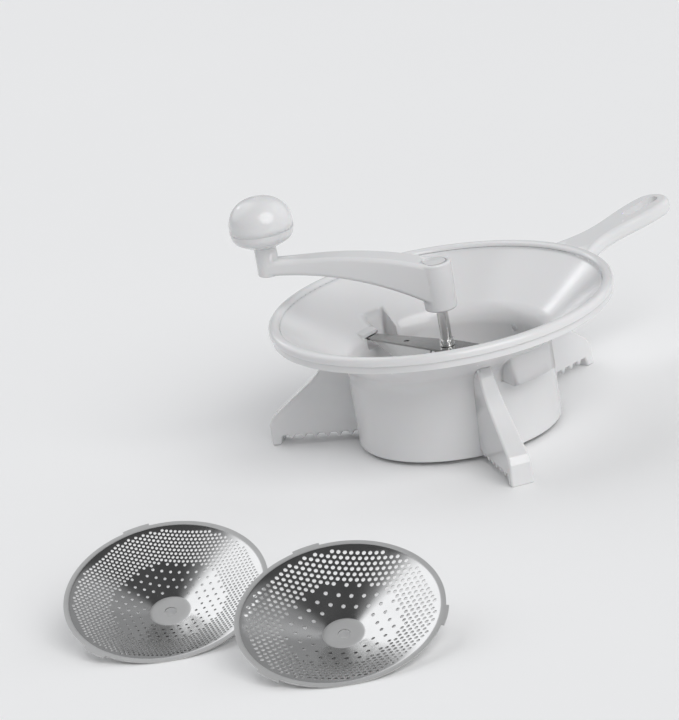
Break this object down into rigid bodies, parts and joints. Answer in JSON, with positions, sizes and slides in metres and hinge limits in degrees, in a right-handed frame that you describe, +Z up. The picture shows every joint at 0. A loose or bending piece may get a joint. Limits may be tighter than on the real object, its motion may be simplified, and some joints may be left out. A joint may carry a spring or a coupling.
{
  "type": "food mill",
  "caption": "Hand food mill: white funnel bowl on toothed legs with a handle, a sprung press blade over a dished perforated disc, a knobbed crank and loose spare discs.",
  "frame": {"origin": "on the table under the crank axis, at the level of the leg ends", "axes": "+Z up the crank axis, +X along the handle"},
  "size_m": [0.6072, 0.4117, 0.181],
  "materials": {
    "white_plastic": "smooth gloss moulded plastic",
    "sheet_steel": "bright stainless sheet",
    "bright_steel": "polished stainless rod",
    "spring_steel": "drawn spring wire",
    "screw_steel": "plated screw"
  },
  "bodies": {
    "bowl": {"bowl_body": "white_plastic", "leg_rear": "white_plastic", "leg_left": "white_plastic", "leg_front": "white_plastic", "handle": "white_plastic", "handle_screws": "screw_steel", "disc_fitted": "sheet_steel"},
    "bar": {"cross_bar": "sheet_steel", "upper_washer": "sheet_steel", "press_spring": "spring_steel"},
    "press": {"thrust_washer": "sheet_steel"},
    "crank": {"crank_arm": "white_plastic", "hub_cap": "white_plastic", "hub_screw": "screw_steel", "crank_shaft": "bright_steel", "shaft_collar": "bright_steel", "press_blade": "sheet_steel", "blade_pin": "bright_steel", "knob_spindle": "bright_steel"},
    "knob": {"knob_base": "white_plastic", "knob_top": "white_plastic"},
    "spare_fine": {"disc_fine": "sheet_steel"},
    "spare_coarse": {"disc_coarse": "sheet_steel"}
  },
  "joints": [
    {"name": "bar_lock", "type": "hinge", "parent": "bowl", "child": "bar", "pos_m": [0, 0, 0.06], "axis": [0, 0, 1], "range_deg": [-12, 0]},
    {"name": "press_float", "type": "slide", "parent": "bar", "child": "press", "axis": [0, 0, 1], "range_m": [0, 0.0025], "stiffness_N_per_m": 1200, "springref_m": -0.004, "deforming": ["press_spring"]},
    {"name": "crank_turn", "type": "hinge", "parent": "press", "child": "crank", "pos_m": [0, 0, 0.06], "axis": [0, 0, 1], "continuous": true},
    {"name": "knob_spin", "type": "hinge", "parent": "crank", "child": "knob", "pos_m": [-0.07283, 0.09156, 0.15], "axis": [0, 0, 1], "continuous": true},
    {"name": "spare_fine_lift", "type": "slide", "parent": "bowl", "child": "spare_fine", "axis": [0, 0, 1], "range_m": [0, 0.1]},
    {"name": "spare_coarse_lift", "type": "slide", "parent": "bowl", "child": "spare_coarse", "axis": [0, 0, 1], "range_m": [0, 0.1]}
  ]
}
